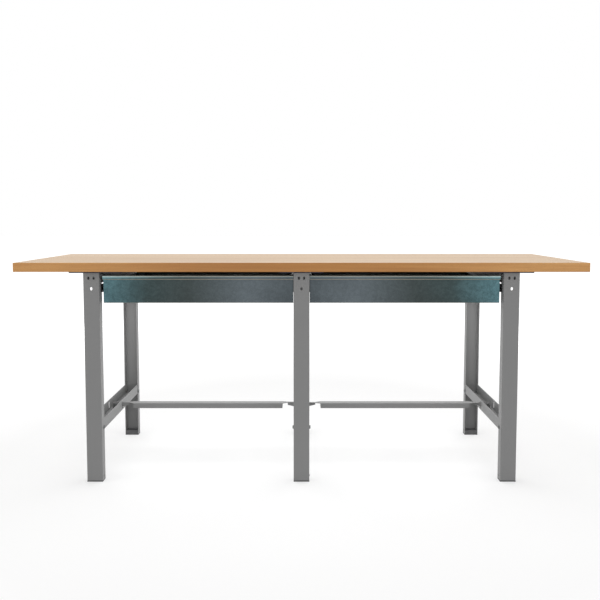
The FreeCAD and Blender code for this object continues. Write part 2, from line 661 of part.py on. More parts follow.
def hex_nut():
    """Nut that hangs below the XY plane."""
    nut = prism(SHANK_SIDES, ACROSS_FLATS / math.sqrt(3), NUT_HEIGHT, -NUT_HEIGHT)
    return nut.cut(prism(SHANK_SIDES, NUT_BORE, 3 * NUT_HEIGHT, -2 * NUT_HEIGHT))


def aimed(shape, direction, x, y, z):
    """Copy of a fastener whose head points along a direction, at a point."""
    copy = shape.copy()
    rotation = FreeCAD.Rotation(FreeCAD.Vector(0, 0, 1), FreeCAD.Vector(*direction))
    copy.Placement = FreeCAD.Placement(FreeCAD.Vector(x, y, z), rotation)
    return copy


def group(label, solids):
    feature = doc.addObject("Part::Feature", label)
    feature.Label = label
    feature.Shape = Part.makeCompound(solids)
    feature.Placement = FreeCAD.Placement()
    PARTS.append(feature)


def make_fasteners():
    steel, half_leg, half_rail = value("steel"), value(HALF_LEG), value(HALF_RAIL)
    bolt_radius, frame_centre = value("bolt_radius"), value("frame_centre")
    bolt = hex_bolt(ACROSS_FLATS, HEAD_HEIGHT, bolt_radius, 2 * steel + NUT_HEIGHT + steel)
    nut = hex_nut()
    bolts, nuts = [], []
    for name, side in FRAME_SIDES:
        for height in (value(LOW_BOLT_HEIGHT), value(TOP_BOLT_HEIGHT)):
            for y in (-value(BOLT_Y), value(BOLT_Y)):
                for way in (-1, 1):
                    outside = side * frame_centre + way * half_leg
                    inside = side * frame_centre + way * (half_rail - steel)
                    bolts.append(aimed(bolt, (way, 0, 0), outside, y, height))
                    nuts.append(aimed(nut, (way, 0, 0), inside, y, height))
    group("frame_bolts", bolts)
    group("frame_nuts", nuts)

    # Each stretcher bolt points back; the ears lie in front of the left and middle lugs and
    # behind the middle and right ones.
    ear_bolts, ear_nuts = [], []
    ear_height = value(EAR_BOLT_HEIGHT)
    ear_bolt = hex_bolt(ACROSS_FLATS, HEAD_HEIGHT, bolt_radius, 3 * steel + NUT_HEIGHT + steel)
    for name, side in FRAME_SIDES:
        head_y = -steel / 2 if side > 0 else -1.5 * steel
        nut_y = steel / 2 if side < 0 else 1.5 * steel
        ear_bolts.append(aimed(ear_bolt, (0, -1, 0), side * frame_centre, head_y, ear_height))
        ear_nuts.append(aimed(nut, (0, -1, 0), side * frame_centre, nut_y, ear_height))
    group("stretcher_bolts", ear_bolts)
    group("stretcher_nuts", ear_nuts)

    web_under = value(FRAME_TOP) - steel
    plate_bolt = hex_bolt(SMALL_ACROSS_FLATS, SMALL_HEAD_HEIGHT, SMALL_RADIUS,
                          steel + value("bearer_sheet"))
    group("bearer_bolts", [aimed(plate_bolt, (0, 0, -1), side * frame_centre, y, web_under)
                           for name, side in FRAME_SIDES
                           for y in (-value("bearer_bolt_pitch") / 2, value("bearer_bolt_pitch") / 2)])


# ---------------------------------------------------------------- the bench

END_FACE = "(frame_centre - %s)" % HALF_LEG
DRAWERS = (
    ("left", (("outer", "-" + END_FACE, 0), ("inner", "-" + HALF_LEG, 180))),
    ("right", (("inner", HALF_LEG, 0), ("outer", END_FACE, 180))),
)

make_worktop()
for side_name, side in FRAME_SIDES:
    middle = "%d * frame_centre" % side
    make_leg("front_leg_" + side_name, middle, False)
    make_leg("back_leg_" + side_name, middle, True)
    make_foot("front_foot_" + side_name, middle, False)
    make_foot("back_foot_" + side_name, middle, True)
    make_rail("lower_rail_" + side_name, middle, True)
    make_rail("upper_rail_" + side_name, middle, False)
    make_bearer("bearer_" + side_name, middle, side)
make_stretcher("stretcher_left", "-" + BAY_MIDDLE, 0)
make_stretcher("stretcher_right", BAY_MIDDLE, 180)
for drawer, stations in DRAWERS:
    make_slides(drawer, stations)
    group("%s_ball_cages" % drawer, ball_cages(stations))
make_tray("left_drawer_tray", "-" + BAY_MIDDLE)
make_tray("right_drawer_tray", BAY_MIDDLE)
make_front("left_drawer_front", "-%s + front_outer_gap" % END_FACE,
           "-%s - front_inner_gap" % HALF_LEG)
make_front("right_drawer_front", "%s + front_inner_gap" % HALF_LEG,
           "%s - front_outer_gap" % END_FACE)
make_fasteners()

doc.recompute()
for item in doc.Objects:
    if "Invalid" in item.State or "Error" in item.State:
        raise RuntimeError("failed object: %s %s" % (item.Label, item.State))
for part in PARTS:
    if part.Shape.isNull() or not part.Shape.isValid():
        raise RuntimeError("bad shape: " + part.Label)
for part in PARTS:
    part.Shape.exportStep("parts/%s.step" % part.Label)
print("%d sub-parts written" % len(PARTS))
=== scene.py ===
import itertools
import json
import math

import bmesh
import bpy
from mathutils import Matrix, Vector


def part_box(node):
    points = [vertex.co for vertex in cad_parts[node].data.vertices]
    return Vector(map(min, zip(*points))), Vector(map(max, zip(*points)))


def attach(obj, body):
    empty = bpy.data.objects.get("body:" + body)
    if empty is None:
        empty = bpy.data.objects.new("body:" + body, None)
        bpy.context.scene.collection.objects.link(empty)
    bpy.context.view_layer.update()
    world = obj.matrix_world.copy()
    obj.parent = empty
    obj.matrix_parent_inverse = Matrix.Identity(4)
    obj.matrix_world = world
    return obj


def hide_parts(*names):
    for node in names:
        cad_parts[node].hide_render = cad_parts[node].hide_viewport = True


# The looks of a long workshop bench: materials for its CAD nodes, detailed fasteners, ball
# cages and shoes in place of the plain ones, and the studio round it.  Sizes are in metres.

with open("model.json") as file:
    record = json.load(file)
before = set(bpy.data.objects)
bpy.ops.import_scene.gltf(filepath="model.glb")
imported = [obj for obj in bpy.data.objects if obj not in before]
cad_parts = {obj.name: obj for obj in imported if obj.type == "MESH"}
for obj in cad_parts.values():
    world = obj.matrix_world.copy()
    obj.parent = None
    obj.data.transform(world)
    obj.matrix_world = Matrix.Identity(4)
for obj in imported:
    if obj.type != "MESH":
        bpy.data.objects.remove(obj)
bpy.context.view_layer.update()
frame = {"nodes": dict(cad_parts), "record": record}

MM = 0.001
X, Y, Z = Vector((1, 0, 0)), Vector((0, 1, 0)), Vector((0, 0, 1))

FRAMES = ("left", "centre", "right")
ROWS = ("front", "back")
DRAWERS = ("left", "right")
SIDES = ("outer", "inner")

# Fasteners
FRAME_BOLT_FLATS = 13 * MM
FRAME_BOLT_HEAD = 5.3 * MM
FRAME_BOLT_RADIUS = 4 * MM
FRAME_BOLT_PITCH = 1.25 * MM
FRAME_BOLT_LINE = 14 * MM          # bolts from the rail's web
FRAME_BOLT_SETBACK = 29 * MM       # bolts behind the leg's face
NUT_HEIGHT = 6.5 * MM
NUT_BORE = FRAME_BOLT_RADIUS - 0.1 * MM
THREAD_BEYOND_NUT = 2 * MM
PLATE_BOLT_FLATS = 10 * MM
PLATE_BOLT_HEAD = 4 * MM
PLATE_BOLT_RADIUS = 3 * MM
PLATE_BOLT_PITCH = 1 * MM
PLATE_BOLT_Y = 0.2                 # from the bench's middle, to the front and the back
EAR_BOLT_DROP = 13 * MM            # stretcher bolt below the stretcher's top
SHEET = 2 * MM                     # steel of legs, rails and stretchers
PLATE_SHEET = 2.5 * MM             # plates between the frames and the board
LARGE_SCREW = (4.5 * MM, 2.2 * MM)     # head's radius and height, at the board and shoes
SMALL_SCREW = (3.5 * MM, 1.3 * MM)     # at the slides, where the heads pass inside
BOARD_SCREW_EDGE = 20 * MM         # board screws from the plate's ends
BOARD_SCREW_Y = 0.25
SHOE_SCREW_HEIGHT = 22 * MM

# Slides and drawers
SLIDE_SHEET = 1.2 * MM
SLIDE_GAP = 12.7 * MM              # leg to tray
SLIDE_SCREW_END = 8 * MM           # screws from the fixed member's ends
TRAY_SCREW_PITCH = 0.25
TRAY_SHEET = 1.2 * MM
CAP_SHEET = 0.8 * MM
CAP_RISE = 3.2 * MM                # above the back wall
CAP_DROP = 8 * MM                  # down the back wall's faces
WELD_COUNT = 9
WELD_END = 40 * MM
WELD_FROM_EDGE = 7 * MM
BACK_WELD_HEIGHTS = (0.25, 0.55, 0.85)     # up each back corner, in parts of the tray's height
WELD_PROFILE = ((3.2 * MM, -0.1 * MM), (3.2 * MM, 0), (2.7 * MM, 0.15 * MM),
                (2.2 * MM, 0.15 * MM), (1.8 * MM, 0.03 * MM))     # radius and height
WELD_AROUND = 24
STOP_BACK = 2 * MM                 # slide stop from the fixed member's back end
STOP_FRONT = 14 * MM
STOP_ROOM = 0.1 * MM               # off the member's web; twice that above and below
STOP_DEPTH = 6.0 * MM              # from the leg, in the notch
STOP_JAW_DEPTH = 7.4 * MM          # from the leg, above and below the notch
STOP_JAW = 0.45                    # where the jaws start, in parts of half the height

# Shoes
SHOE_WALL = 4 * MM
SHOE_RIB = 2 * MM                  # the sole's ribs, as high as they are thick
SHOE_OVERLAP = 1 * MM              # the plug into the sole

# Photograph's frame and its camera
PHOTO_WIDTH = 600
FOCAL_PIXELS = 679.2
SENSOR = 36.0                      # millimetres, as Blender counts them
AXIS_COLUMN = 301.5                # pixel where the camera's axis meets the picture
AXIS_ROW = 264.5
CAMERA_PLACE = Vector((0, -3.307, 1.170))
CAMERA_DIP = math.radians(3.85)

# Studio
FLOOR_REACH = 40.0
FLOOR_GREY = 0.5
GLOW_NEAR = (1.5, 0.48)            # distance from the bench's middle and the floor's glow there
GLOW_FAR = (5.0, 0.95)


# ------------------------------------------------------------------ node helpers

def material(name, **sockets):
    """New material; the values that are the same all over go on the shader's own sockets."""
    made = bpy.data.materials.new(name)
    made.use_nodes = True
    shader = made.node_tree.nodes["Principled BSDF"]
    for socket, number in sockets.items():
        shader.inputs[socket.replace("_", " ")].default_value = number
    return made, made.node_tree, shader


def feed(tree, socket, source):
    """Join a node's input to another node's output, or set its value."""
    if isinstance(source, bpy.types.NodeSocket):
        tree.links.new(source, socket)
    else:
        socket.default_value = source


def add(tree, kind, inputs=(), **settings):
    made = tree.nodes.new("ShaderNode" + kind)
    for name, setting in settings.items():
        setattr(made, name, setting)
    for name, source in dict(inputs).items():
        feed(tree, made.inputs[name], source)
    return made


def object_place(tree, scale):
    """Place on the object in metres, stretched per axis: a larger scale is a finer grain."""
    place = add(tree, "TexCoord").outputs["Object"]
    return add(tree, "Mapping", {"Vector": place, "Scale": scale}).outputs["Vector"]


def noise(tree, vector, detail=2.0, roughness=0.5, distortion=0.0):
    """Noise whose scale is the vector's own."""
    made = add(tree, "TexNoise", {"Vector": vector, "Scale": 1.0, "Detail": detail,
                                  "Roughness": roughness, "Distortion": distortion})
    return made.outputs["Factor" if "Factor" in made.outputs else "Fac"]


def cells(tree, vector, scale, feature="F1"):
    return add(tree, "TexVoronoi", {"Vector": vector, "Scale": scale}, feature=feature)


def ramp(tree, factor, *stops):
    """Colour ramp; each stop is a position and a grey level or a colour."""
    made = add(tree, "ValToRGB", {"Fac": factor})
    elements = made.color_ramp.elements
    while len(elements) < len(stops):
        elements.new(0.5)
    for element, (position, colour) in zip(elements, stops):
        element.position = position
        element.color = (*colour, 1) if isinstance(colour, tuple) else (colour,) * 3 + (1,)
    return made.outputs["Color"]


def mix(tree, factor, first, second, blend="MIX"):
    """Mixed colour of two sockets or colours."""
    made = add(tree, "Mix", data_type="RGBA", blend_type=blend)
    colour_inputs = [socket for socket in made.inputs if socket.type == "RGBA"]
    feed(tree, made.inputs["Factor"], factor)
    for socket, source in zip(colour_inputs, (first, second)):
        feed(tree, socket, (*source, 1) if isinstance(source, tuple) else source)
    return next(socket for socket in made.outputs if socket.type == "RGBA")


def maths(tree, operation, first, second=0.0, clamp=False):
    made = add(tree, "Math", operation=operation, use_clamp=clamp)
    feed(tree, made.inputs[0], first)
    feed(tree, made.inputs[1], second)
    return made.outputs[0]


def spread(tree, factor, low, high):
    """Map a factor of 0 to 1 to a range."""
    made = add(tree, "MapRange", {"Value": factor, "To Min": low, "To Max": high})
    return made.outputs["Result"]


def part_of_range(tree, source, start, end):
    """0 before the start of a range, 1 beyond its end and straight between."""
    made = add(tree, "MapRange", {"Value": source, "From Min": start, "From Max": end})
    return made.outputs["Result"]


def soft_edges(tree, radius):
    """Normal that turns softly over sharp edges, as a coat or a deburred edge does."""
    return add(tree, "Bevel", {"Radius": radius}, samples=4).outputs["Normal"]


def edge_mask(tree, edge_normal):
    """Near 1 along sharp edges and 0 on flat faces."""
    true_normal = add(tree, "NewGeometry").outputs["True Normal"]
    likeness = add(tree, "VectorMath", operation="DOT_PRODUCT")
    feed(tree, likeness.inputs[0], edge_normal)
    feed(tree, likeness.inputs[1], true_normal)
    away = maths(tree, "SUBTRACT", 1.0, likeness.outputs["Value"], clamp=True)
    return maths(tree, "MULTIPLY", away, 4.0, clamp=True)


def bump(tree, height, distance, normal=None):
    inputs = {"Height": height, "Distance": distance, "Strength": 1.0}
    if normal is not None:
        inputs["Normal"] = normal
    return add(tree, "Bump", inputs).outputs["Normal"]


# ------------------------------------------------------------------ materials

GALVANISED_STOPS = (0.05, 0.25, 0.50, 0.68, 0.88)          # metres from the bench's middle
# The fronts' tones are painted reflections: dark overall for the dim surroundings they reflect,
# brighter beside the middle and with a teal highlight at the ends.
FRONT_REFLECTION_TONES = ((0.062, 0.074, 0.081), (0.086, 0.102, 0.112), (0.042, 0.052, 0.052),
               (0.039, 0.056, 0.057), (0.076, 0.146, 0.164))
# The trays' tones are a lighter copy of the same zinc, without the fronts' painted reflections.
TRAY_TONES = ((0.32, 0.345, 0.355), (0.33, 0.355, 0.365), (0.30, 0.325, 0.335),
              (0.29, 0.32, 0.33), (0.30, 0.35, 0.36))
LIP_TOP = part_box("left_drawer_front")[1].z
# How far below the lip's top its painted highlight reaches.
LIP_HIGHLIGHT_HEIGHT = 12 * MM           # below the lip's top
# Between these depths below the lip's top, the top fold gets its painted highlight.
FOLD_STARTS = 3.2 * MM             # the top fold, below the lip's top
FOLD_FULL = 2.4 * MM


def beech_sheet():
    """Beech-effect sheet: pinkish tan, soft bands and short dark flecks along X."""
    made, tree, shader = material("beech_sheet", Specular_IOR_Level=0.45)
    bands = noise(tree, object_place(tree, (0.7, 9, 1)), detail=4, roughness=0.55, distortion=0.6)
    grain = noise(tree, object_place(tree, (5, 240, 1)), detail=3, roughness=0.6)
    flecks = noise(tree, object_place(tree, (130, 1100, 1)), detail=1)
    colour = ramp(tree, bands, (0.30, (0.67, 0.465, 0.285)), (0.52, (0.75, 0.54, 0.345)),
                  (0.75, (0.81, 0.605, 0.40)))
    colour = mix(tree, 0.35, colour, ramp(tree, grain, (0.35, 0.55), (0.65, 1.0)), "MULTIPLY")
    is_fleck = ramp(tree, flecks, (0.60, 0.0), (0.68, 0.75))
    colour = mix(tree, is_fleck, colour, (0.42, 0.26, 0.15))
    feed(tree, shader.inputs["Base Color"], colour)
    feed(tree, shader.inputs["Roughness"], spread(tree, grain, 0.38, 0.52))
    relief = maths(tree, "ADD", maths(tree, "MULTIPLY", grain, 0.5), is_fleck)
    feed(tree, shader.inputs["Normal"], bump(tree, relief, -0.03 * MM))
    return made


def beech_band():
    """Edge band: warm brown beech print, its grain along the edge it covers.

    The print is paled towards the bench's ends by a painted sheen, and its arrises carry a painted
    highlight."""
    made, tree, shader = material("beech_band", Specular_IOR_Level=0.4)
    bands = noise(tree, object_place(tree, (1.5, 1.5, 60)), detail=3, distortion=0.4)
    grain = noise(tree, object_place(tree, (14, 14, 900)), detail=3, roughness=0.6)
    flecks = noise(tree, object_place(tree, (160, 160, 1300)), detail=1)
    colour = ramp(tree, bands, (0.30, (0.54, 0.25, 0.076)), (0.52, (0.63, 0.32, 0.105)),
                  (0.75, (0.715, 0.382, 0.135)))
    # Painted sheen: the print is multiplied warmer and darker towards the middle, so it reads paler
    # towards the bench's ends.
    along = add(tree, "SeparateXYZ", {"Vector": object_place(tree, (1, 1, 1))}).outputs["X"]
    outward = add(tree, "MapRange", {"Value": maths(tree, "ABSOLUTE", along), "From Min": 0.25,
                                     "From Max": 1.15}, interpolation_type="SMOOTHSTEP")
    painted_end_sheen = mix(tree, outward.outputs["Result"], (0.725, 0.62, 0.46), (1.0, 1.0, 1.0))
    colour = mix(tree, 1.0, colour, painted_end_sheen, "MULTIPLY")
    colour = mix(tree, 0.30, colour, ramp(tree, grain, (0.35, 0.6), (0.65, 1.0)), "MULTIPLY")
    is_fleck = ramp(tree, flecks, (0.60, 0.0), (0.70, 0.6))
    colour = mix(tree, is_fleck, colour, (0.24, 0.105, 0.034))
    edges = soft_edges(tree, 0.8 * MM)
    # Painted highlight: the band's sharp arrises are mixed towards a lighter tan.
    painted_arris_highlight = maths(tree, "MULTIPLY", edge_mask(tree, edges), 0.35)
    feed(tree, shader.inputs["Base Color"], mix(tree, painted_arris_highlight, colour, (0.72, 0.50, 0.30)))
    feed(tree, shader.inputs["Roughness"], spread(tree, grain, 0.40, 0.55))
    feed(tree, shader.inputs["Normal"], bump(tree, grain, 0.02 * MM, edges))
    return made


def chip_board():
    """Particle board: pressed chips of many tans, seen from below."""
    made, tree, shader = material("chip_board", Roughness=0.85)
    chips = cells(tree, object_place(tree, (150, 330, 330)), 1.0)
    fine = noise(tree, object_place(tree, (900, 900, 900)), detail=2)
    shade = add(tree, "SeparateColor", {"Color": chips.outputs["Color"]}).outputs["Red"]
    colour = ramp(tree, shade, (0.0, (0.36, 0.23, 0.12)), (0.45, (0.52, 0.37, 0.22)),
                  (1.0, (0.68, 0.53, 0.35)))
    colour = mix(tree, 0.5, colour, ramp(tree, fine, (0.3, 0.6), (0.7, 1.0)), "MULTIPLY")
    feed(tree, shader.inputs["Base Color"], colour)
    relief = maths(tree, "ADD", chips.outputs["Distance"], fine)
    feed(tree, shader.inputs["Normal"], bump(tree, relief, 0.15 * MM))
    return made


def powder_coat(name, colour, edge_wear_and_lip_highlight, roughness):
    """Baked powder coat: orange peel, faint mottling, and a thinner coat along sharp edges."""
    made, tree, shader = material(name, Specular_IOR_Level=0.22)
    mottle = noise(tree, object_place(tree, (7, 7, 7)), detail=3)
    peel = noise(tree, object_place(tree, (650, 650, 650)), detail=2, roughness=0.55)
    edges = soft_edges(tree, 0.8 * MM)
    scuffs = noise(tree, object_place(tree, (60, 60, 60)), detail=4, roughness=0.7)
    darker = tuple(0.96 * part for part in colour)
    coat = mix(tree, mottle, darker, colour)
    broken = maths(tree, "MULTIPLY", edge_mask(tree, edges),
                   ramp(tree, scuffs, (0.35, 0.1), (0.65, 0.9)))
    feed(tree, shader.inputs["Base Color"], mix(tree, broken, coat, edge_wear_and_lip_highlight))
    feed(tree, shader.inputs["Roughness"], spread(tree, scuffs, roughness - 0.05, roughness + 0.07))
    feed(tree, shader.inputs["Normal"], bump(tree, peel, 0.035 * MM, edges))
    return made


def fold_mask(tree):
    """Near 1 where a surface turns round a fold, and 0 on the flats between."""
    parts = add(tree, "SeparateXYZ", {"Vector": add(tree, "NewGeometry").outputs["Normal"]})
    turns = []
    for first, second in (("X", "Y"), ("Y", "Z"), ("X", "Z")):
        both = maths(tree, "MULTIPLY", parts.outputs[first], parts.outputs[second])
        turns.append(maths(tree, "ABSOLUTE", both))
    total = maths(tree, "ADD", maths(tree, "ADD", turns[0], turns[1]), turns[2])
    return maths(tree, "MULTIPLY", total, 2.0, clamp=True)


def galvanised(name, tones, metallic):
    """Hot-dip zinc on sheet: frosty spangles of two sizes, strongest at the bench's ends.

    The tones run from beside the bench's middle to its ends; on the fronts they are painted
    reflections.  A painted highlight runs round every fold, brightest on the pull lip's top fold,
    and another painted highlight lies on the upper part of the lip, more towards the bench's ends."""
    made, tree, shader = material(name)
    place = object_place(tree, (1, 1, 1))
    drift = add(tree, "TexNoise", {"Vector": place, "Scale": 30.0, "Detail": 3.0})
    wobble = add(tree, "VectorMath", operation="SCALE")
    feed(tree, wobble.inputs[0], drift.outputs["Color"])
    wobble.inputs["Scale"].default_value = 0.012
    bent = add(tree, "VectorMath", operation="ADD")
    feed(tree, bent.inputs[0], place)
    feed(tree, bent.inputs[1], wobble.outputs["Vector"])
    large = cells(tree, bent.outputs["Vector"], 90.0, "SMOOTH_F1")
    small = cells(tree, bent.outputs["Vector"], 300.0, "SMOOTH_F1")
    large_shade = add(tree, "SeparateColor", {"Color": large.outputs["Color"]}).outputs["Red"]
    small_shade = add(tree, "SeparateColor", {"Color": small.outputs["Color"]}).outputs["Green"]
    frost = maths(tree, "ADD", maths(tree, "MULTIPLY", large_shade, 0.5),
                  maths(tree, "MULTIPLY", small_shade, 0.5))
    clouds = noise(tree, object_place(tree, (4, 4, 9)), detail=3, roughness=0.55)
    parts = add(tree, "SeparateXYZ", {"Vector": place})
    outward = maths(tree, "ADD", maths(tree, "ABSOLUTE", parts.outputs["X"]),
                    spread(tree, clouds, -0.06, 0.06))
    colour = ramp(tree, outward, *zip(GALVANISED_STOPS, tones))
    colour = mix(tree, 0.5, colour, ramp(tree, clouds, (0.35, 0.75), (0.65, 1.0)), "MULTIPLY")
    ends = part_of_range(tree, outward, 0.55, 0.85)
    colour = mix(tree, spread(tree, ends, 0.55, 0.85), colour,
                 ramp(tree, frost, (0.2, 0.52), (0.8, 1.16)), "MULTIPLY")
    # Painted highlight: where the sheet turns round a fold it is mixed towards a light warm grey.
    painted_fold_highlight = maths(tree, "MULTIPLY", fold_mask(tree), 0.75)
    colour = mix(tree, painted_fold_highlight, colour, (0.485, 0.442, 0.36))
    # Painted highlight over the lip's upper part, fading downwards and stronger towards the bench's
    # ends.
    lip_upper_part = part_of_range(tree, parts.outputs["Z"], LIP_TOP - LIP_HIGHLIGHT_HEIGHT, LIP_TOP)
    edge_wear_and_lip_highlight = maths(tree, "MULTIPLY", lip_upper_part, spread(tree, ends, 0.10, 0.5))
    colour = mix(tree, edge_wear_and_lip_highlight, colour, (0.42, 0.58, 0.59))
    # Painted highlight on the lip's front-facing top fold, lighter and bluer towards the bench's
    # ends, with the metal turned down there.
    facing = add(tree, "SeparateXYZ", {"Vector": add(tree, "NewGeometry").outputs["Normal"]})
    high_up = part_of_range(tree, parts.outputs["Z"], LIP_TOP - FOLD_STARTS, LIP_TOP - FOLD_FULL)
    turned_front = part_of_range(tree, facing.outputs["Y"], -0.2, -0.6)
    top_fold_highlight = maths(tree, "MULTIPLY", high_up, turned_front)
    bright = mix(tree, ends, (0.51, 0.51, 0.44), (0.62, 0.67, 0.63))
    colour = mix(tree, top_fold_highlight, colour, bright)
    feed(tree, shader.inputs["Base Color"], colour)
    feed(tree, shader.inputs["Metallic"], spread(tree, top_fold_highlight, metallic, 0.35))
    feed(tree, shader.inputs["Roughness"], spread(tree, frost, 0.30, 0.50))
    fine = noise(tree, object_place(tree, (500, 500, 500)), detail=2)
    relief = maths(tree, "ADD", maths(tree, "MULTIPLY", large.outputs["Distance"], 2.0),
                   maths(tree, "MULTIPLY", fine, 0.3))
    feed(tree, shader.inputs["Normal"], bump(tree, relief, 0.04 * MM, soft_edges(tree, 0.6 * MM)))
    return made


def rolled_steel(name, colour, roughness, metallic=1.0):
    """Roll-formed strip: fine drawing lines along Y over a plated surface."""
    made, tree, shader = material(name, Metallic=metallic)
    lines = noise(tree, object_place(tree, (1500, 8, 1500)), detail=3, roughness=0.6)
    stains = noise(tree, object_place(tree, (35, 35, 35)), detail=3)
    darker = tuple(0.6 * part for part in colour)
    feed(tree, shader.inputs["Base Color"],
         mix(tree, ramp(tree, stains, (0.35, 0.2), (0.65, 1.0)), darker, colour))
    feed(tree, shader.inputs["Roughness"], spread(tree, lines, roughness - 0.08, roughness + 0.12))
    feed(tree, shader.inputs["Normal"], bump(tree, lines, 0.01 * MM, soft_edges(tree, 0.3 * MM)))
    return made


def plated(name, colour, roughness):
    """Zinc plate on fasteners: slightly cloudy, with a faint yellow and blue bloom."""
    made, tree, shader = material(name, Metallic=1.0)
    clouds = noise(tree, object_place(tree, (260, 260, 260)), detail=3)
    bloom = noise(tree, object_place(tree, (90, 90, 90)), detail=2)
    warm = (colour[0] * 1.06, colour[1], colour[2] * 0.86)
    cool = (colour[0] * 0.92, colour[1] * 0.98, colour[2] * 1.06)
    tint = mix(tree, bloom, warm, cool)
    feed(tree, shader.inputs["Base Color"],
         mix(tree, 0.5, tint, ramp(tree, clouds, (0.3, 0.65), (0.7, 1.0)), "MULTIPLY"))
    feed(tree, shader.inputs["Roughness"], spread(tree, clouds, roughness, roughness + 0.15))
    feed(tree, shader.inputs["Normal"], bump(tree, clouds, 0.01 * MM))
    return made


def moulded_plastic():
    """Matt moulded polypropylene with a spark-eroded grain."""
    made, tree, shader = material("moulded_plastic", Specular_IOR_Level=0.35)
    grain = noise(tree, object_place(tree, (1800, 1800, 1800)), detail=2)
    dust = noise(tree, object_place(tree, (40, 40, 40)), detail=4, roughness=0.65)
    feed(tree, shader.inputs["Base Color"],
         ramp(tree, dust, (0.40, (0.085, 0.085, 0.088)), (0.75, (0.13, 0.13, 0.13))))
    feed(tree, shader.inputs["Roughness"], spread(tree, dust, 0.5, 0.7))
    feed(tree, shader.inputs["Normal"], bump(tree, grain, 0.02 * MM, soft_edges(tree, 0.5 * MM)))
    return made


MATERIALS = {
    "beech_surface": beech_sheet(),
    "edge_band": beech_band(),
    "board_core": chip_board(),
    "grey_enamel": powder_coat("grey_powder", (0.250, 0.250, 0.250), (0.31, 0.31, 0.31), 0.55),
    # The bearers' near-black navy is painted shade: blue powder coat as it looks in deep shade
    # under the board.
    "dark_enamel": powder_coat("navy_powder_painted_shade", (0.012, 0.016, 0.036), (0.05, 0.06, 0.09), 0.42),
    "galvanised": galvanised("galvanised_front_painted_reflections", FRONT_REFLECTION_TONES, 1.0),
    "black_steel": rolled_steel("black_slide_steel", (0.020, 0.021, 0.024), 0.38, 0.6),
    "bright_steel": rolled_steel("bright_steel", (0.62, 0.62, 0.63), 0.16),
    "zinc": plated("zinc_plate", (0.22, 0.225, 0.23), 0.32),
    "black_plastic": moulded_plastic(),
}


def dress_nodes():
    """Give every CAD node the material of its slot in the record; trays get a lighter copy of the
    zinc, without the fronts' painted reflection tones.
    """
    slots = {part["node"]: part["material_slot"] for part in frame["record"]["subparts"]}
    tray_zinc = galvanised("galvanised_tray", TRAY_TONES, 0.6)
    for name, node in frame["nodes"].items():
        node.data.materials.clear()
        finish = tray_zinc if name.endswith("_tray") else MATERIALS[slots[name]]
        node.data.materials.append(finish)


# ------------------------------------------------------------------ mesh helpers

SMOOTH_BELOW = math.radians(35)


def finish_piece(name, mesh, slot, body, stands_for=(), bevel=0.0):
    """Turn a bmesh into a piece with its material that rides on a body."""
    bmesh.ops.recalc_face_normals(mesh, faces=mesh.faces)
    data = bpy.data.meshes.new(name)
    mesh.to_mesh(data)
    mesh.free()
    piece = bpy.data.objects.new(name, data)
    bpy.context.scene.collection.objects.link(piece)
    data.materials.append(MATERIALS[slot])
    data.shade_smooth()
    data.set_sharp_from_angle(angle=SMOOTH_BELOW)
    if bevel:
        rounding = piece.modifiers.new("rounding", "BEVEL")
        rounding.width = bevel
        rounding.segments = 2
        rounding.limit_method = "ANGLE"
        rounding.harden_normals = False
    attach(piece, body)
    if stands_for:
        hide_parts(*stands_for)
    return piece


def aim(place, direction):
    """Matrix that puts local +Z along a direction at a place."""
    turn = Vector(direction).to_track_quat("Z", "X").to_matrix().to_4x4()
    return Matrix.Translation(place) @ turn


def stamp(mesh, pattern, matrix):
    """Add a moved copy of a pattern mesh."""
    made = {vertex: mesh.verts.new(matrix @ vertex.co) for vertex in pattern.verts}
    for face in pattern.faces:
        mesh.faces.new([made[vertex] for vertex in face.verts])


def rings_to_mesh(rings, closed=True):
    """Skin a stack of point rings of the same count; closed ends get a centre point."""
    mesh = bmesh.new()
    rows = [[mesh.verts.new(point) for point in ring] for ring in rings]
    count = len(rows[0])
    for low, high in zip(rows, rows[1:]):
        for index in range(count):
            following = (index + 1) % count
            mesh.faces.new((low[index], low[following], high[following], high[index]))
    for row in (rows[0], rows[-1]) if closed else ():
        centre = mesh.verts.new(sum((vertex.co for vertex in row), Vector()) / count)
        for index in range(count):
            mesh.faces.new((centre, row[index], row[(index + 1) % count]))
    bmesh.ops.remove_doubles(mesh, verts=mesh.verts, dist=0.0001 * MM)
    return mesh


def circle(radius, height, count):
    step = 2 * math.pi / count
    return [Vector((radius * math.cos(step * index), radius * math.sin(step * index), height))
            for index in range(count)]


def hexagon_reach(flats, angle):
    """Distance from a hexagon's middle to its edge in a direction."""
    within = (angle + math.pi / 6) % (math.pi / 3) - math.pi / 6
    return flats / 2 / math.cos(within)


def hexagon(flats, height, count, chamfer_from=None, rising=1):
    """Ring on a hexagon; with a chamfer circle, the ring dips where its corners are cut."""
    points = []
    for index in range(count):
        angle = 2 * math.pi * index / count
        reach = hexagon_reach(flats, angle)
        dip = 0.0 if chamfer_from is None else (reach - chamfer_from) * math.tan(math.radians(30))
        points.append(Vector((reach * math.cos(angle), reach * math.sin(angle),
                              height - rising * dip)))
    return points


